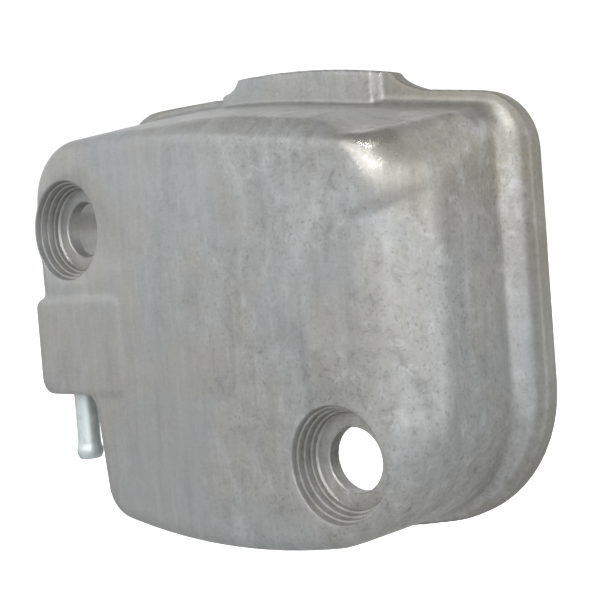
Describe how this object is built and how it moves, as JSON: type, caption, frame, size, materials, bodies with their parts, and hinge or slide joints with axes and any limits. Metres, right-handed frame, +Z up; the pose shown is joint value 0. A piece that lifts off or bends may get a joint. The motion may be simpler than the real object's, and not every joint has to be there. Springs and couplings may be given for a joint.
{
  "type": "rocker cover",
  "caption": "Domed die-cast rocker cover of a small engine, with stepped bolt holes, a built-in breather chamber with a reed valve, and a hose nipple.",
  "frame": {"origin": "on the gasket face, in the middle of the metal between the seal groove and the inside wall, at the lowest part of the flange and midway along its width", "axes": "+X to the right when the crown is looked at, along the cover's width; +Y from the crown out of the gasket face; +Z up, towards the raised ledge"},
  "size_m": [0.1588, 0.0505, 0.1384],
  "materials": {
    "cast_aluminium": "raw die-cast, mottled",
    "zinc_plate": "bright zinc plated",
    "sheet_steel": "cold rolled",
    "spring_steel": "polished strip",
    "black_rubber": "moulded, matt",
    "gasket_fibre": "compressed fibre sheet",
    "knitted_wire": "knitted stainless wire"
  },
  "bodies": {
    "cover": {"cover_casting": "cast_aluminium", "hose_nipple": "zinc_plate", "perimeter_seal": "black_rubber", "breather_plate": "sheet_steel", "breather_gasket": "gasket_fibre", "reed_clamped_end": "spring_steel", "reed_stop": "sheet_steel", "reed_rivet": "zinc_plate", "plate_screw_1": "zinc_plate", "plate_screw_2": "zinc_plate", "plate_screw_3": "zinc_plate", "plate_screw_4": "zinc_plate", "oil_mesh_pad": "knitted_wire"},
    "reed": {"reed_flap": "spring_steel"}
  },
  "joints": [
    {"name": "reed_lift", "type": "hinge", "parent": "cover", "child": "reed", "pos_m": [-0.04745, -0.0211, 0.0536], "axis": [0, 0, 1], "range_deg": [0, 8], "stiffness_Nm_per_rad": 0.005, "springref_deg": -2.86}
  ]
}
